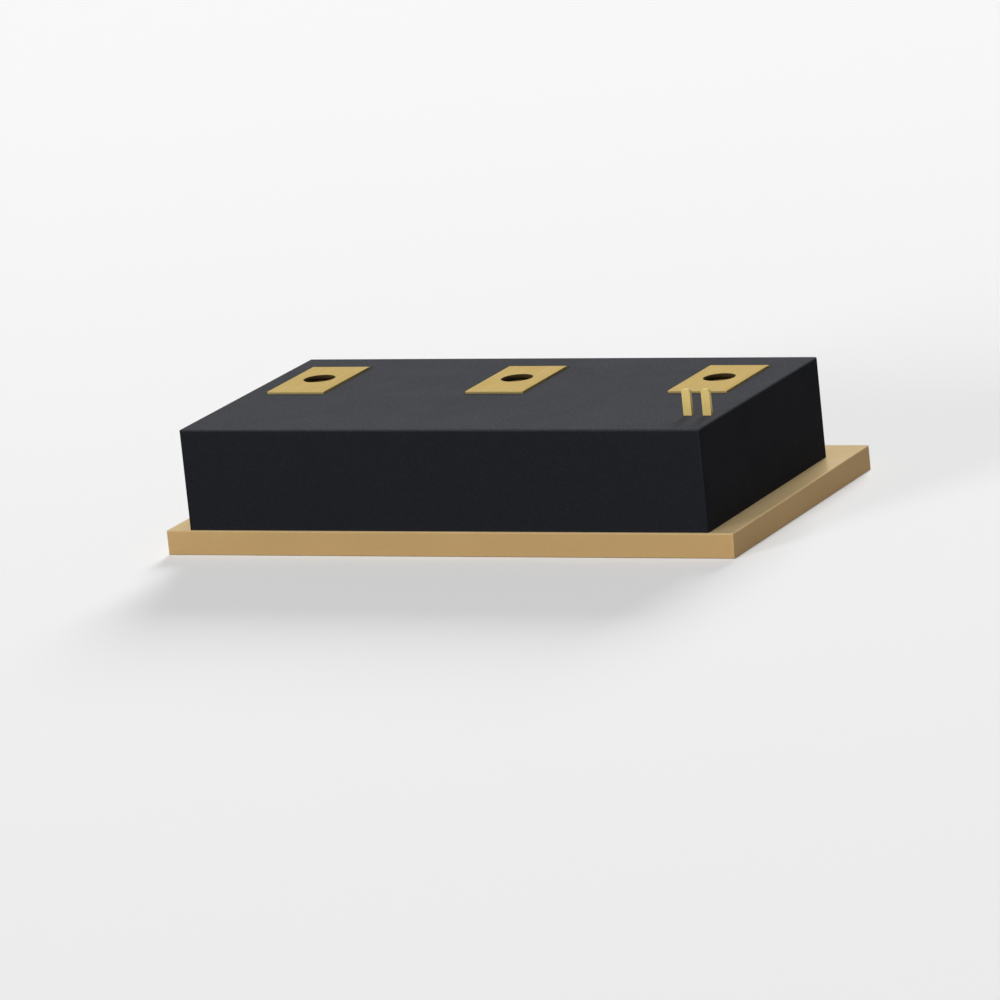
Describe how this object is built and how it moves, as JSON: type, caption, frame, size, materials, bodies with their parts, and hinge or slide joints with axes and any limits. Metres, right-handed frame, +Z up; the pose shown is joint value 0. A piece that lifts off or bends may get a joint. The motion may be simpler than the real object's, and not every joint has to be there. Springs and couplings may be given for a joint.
{
  "type": "thyristor module",
  "caption": "Low, wide power module: a black moulded case on a metal baseplate, with screw terminal tabs in a row on top and a pair of control pins at one end.",
  "frame": {"origin": "centre of the baseplate's underside", "axes": "+X along the length, towards the end with the control pins; +Y from the front to the terminals' side; +Z up, away from the heat sink"},
  "size_m": [0.1064, 0.0614, 0.0267],
  "materials": {
    "rolled_copper": "rolled copper with a satin tan finish",
    "moulded_plastic": "fine-grained black moulding",
    "sealant": "matt cured silicone",
    "terminal_brass": "brushed",
    "passivated_steel": "yellow passivated",
    "white_lead": "satin insulation",
    "red_lead": "satin insulation",
    "silicon": "lapped",
    "molybdenum": "ground",
    "bonded_copper": "matt copper",
    "alumina": "unglazed",
    "solder": "bright, reflowed",
    "clear_gel": "clear, soft"
  },
  "bodies": {
    "root": {"baseplate": "rolled_copper", "case": "moulded_plastic", "case_seal": "sealant", "left_terminal": "terminal_brass", "middle_terminal": "terminal_brass", "right_terminal": "terminal_brass", "terminal_nuts": "passivated_steel", "gate_pin": "terminal_brass", "cathode_pin": "terminal_brass", "gate_lead": "white_lead", "cathode_lead": "red_lead", "thyristor_chip": "silicon", "diode_chip": "silicon", "thyristor_disc": "molybdenum", "diode_disc": "molybdenum", "thyristor_bridge": "bonded_copper", "diode_bridge": "bonded_copper", "thyristor_ceramic": "alumina", "diode_ceramic": "alumina", "thyristor_back_copper": "bonded_copper", "diode_back_copper": "bonded_copper", "anode_track": "bonded_copper", "midpoint_track": "bonded_copper", "cathode_track": "bonded_copper", "substrate_solder": "solder", "chip_solder": "solder", "joint_solder": "solder", "silicone_gel": "clear_gel"}
  },
  "joints": []
}
